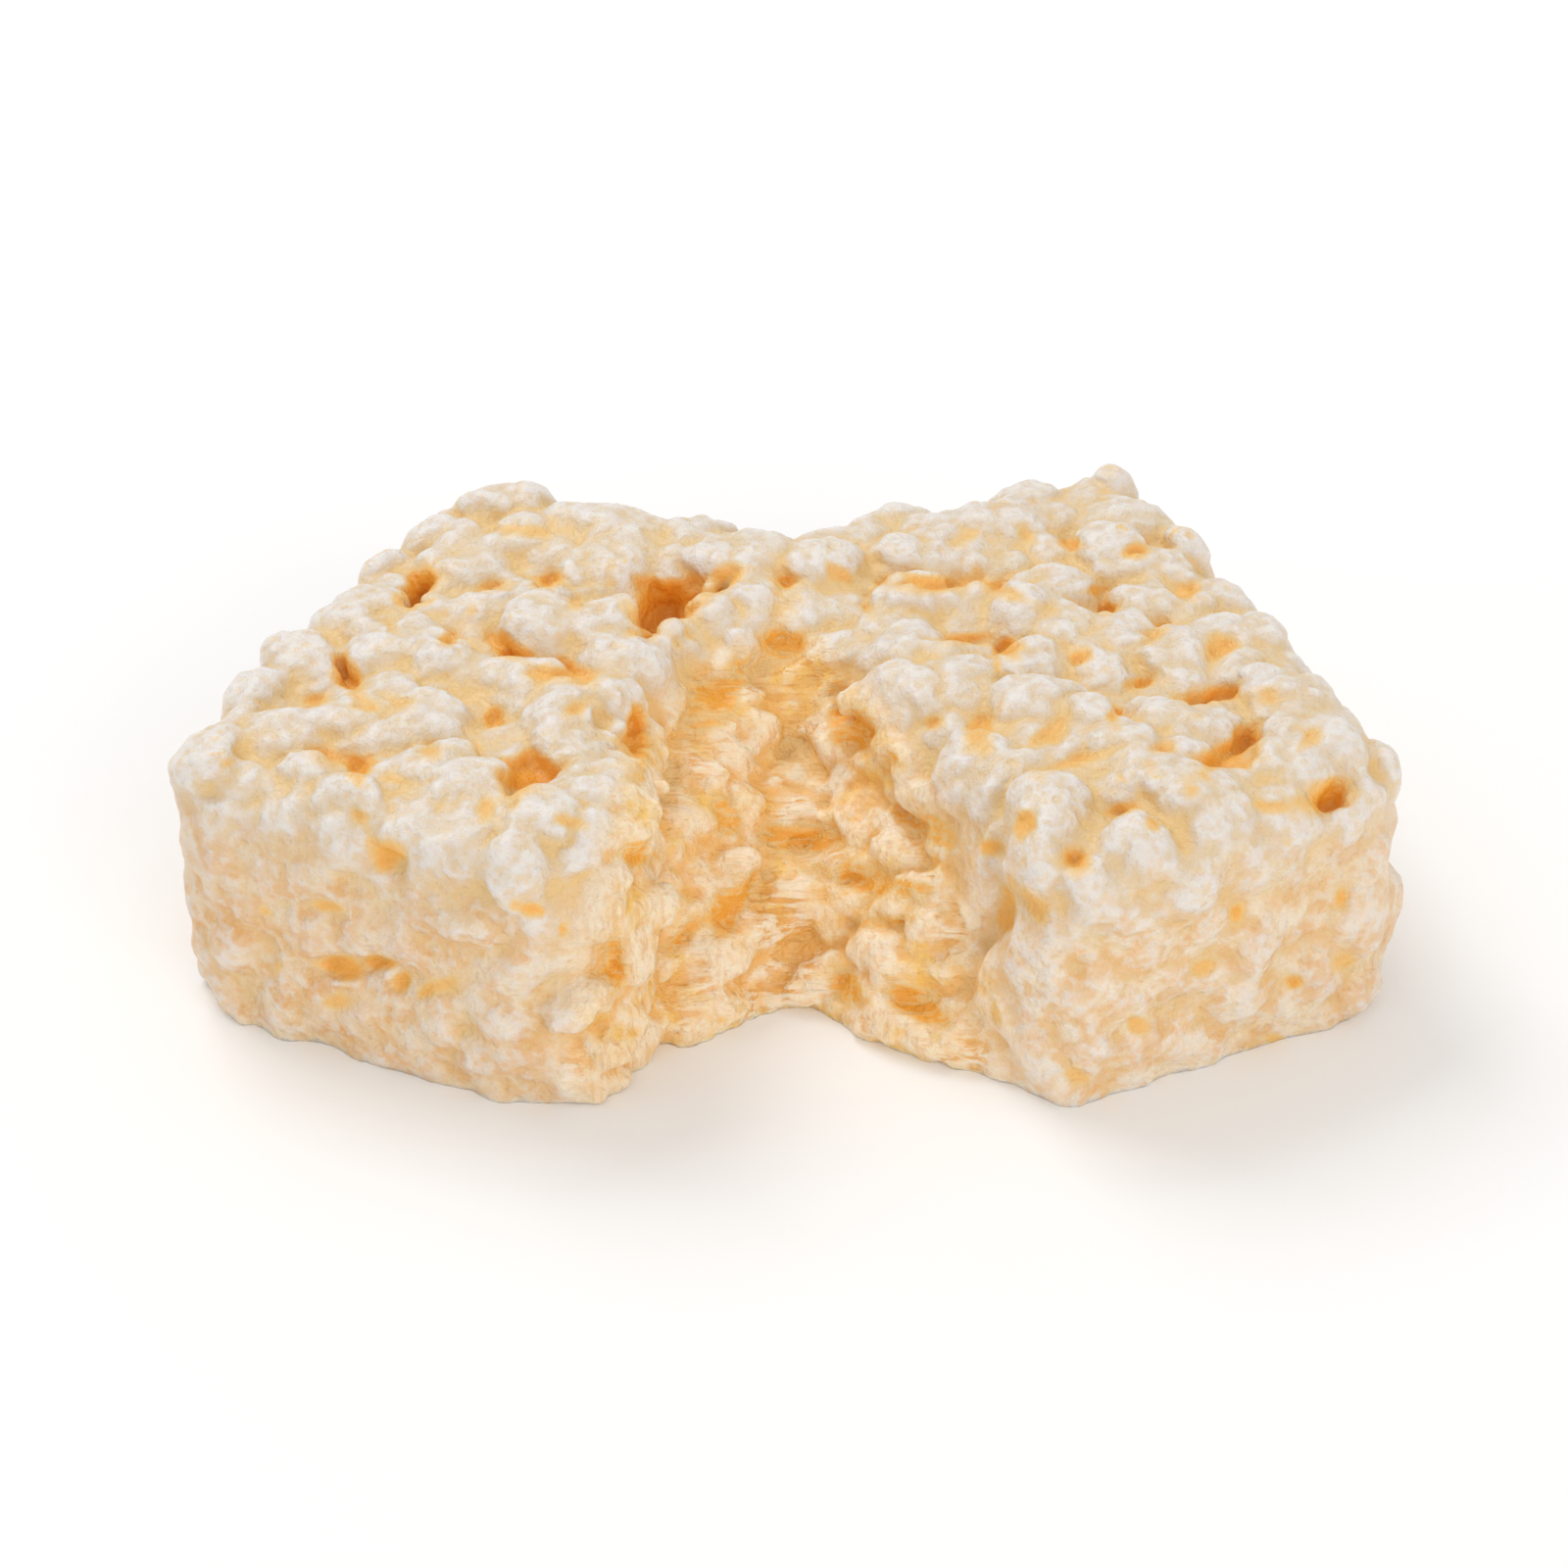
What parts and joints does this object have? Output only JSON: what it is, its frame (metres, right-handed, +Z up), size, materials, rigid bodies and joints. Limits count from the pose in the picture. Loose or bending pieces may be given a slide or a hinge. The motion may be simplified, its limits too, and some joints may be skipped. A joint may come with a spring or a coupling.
{
  "type": "puffed rice and marshmallow square",
  "caption": "Lumpy puffed rice and marshmallow square, torn open at the front so that its two halves swing apart but still hold at the back, with a flat base to rest on.",
  "frame": {"origin": "centre of the base, as seen from above, at the table", "axes": "+X towards the right half, +Y towards the unbroken back, +Z up"},
  "size_m": [0.0952, 0.061, 0.0242],
  "materials": {
    "treat": "pale cream set marshmallow over puffed rice, slightly glossy, more golden inside the tear"
  },
  "bodies": {
    "root": {"treat": "treat"}
  },
  "joints": []
}
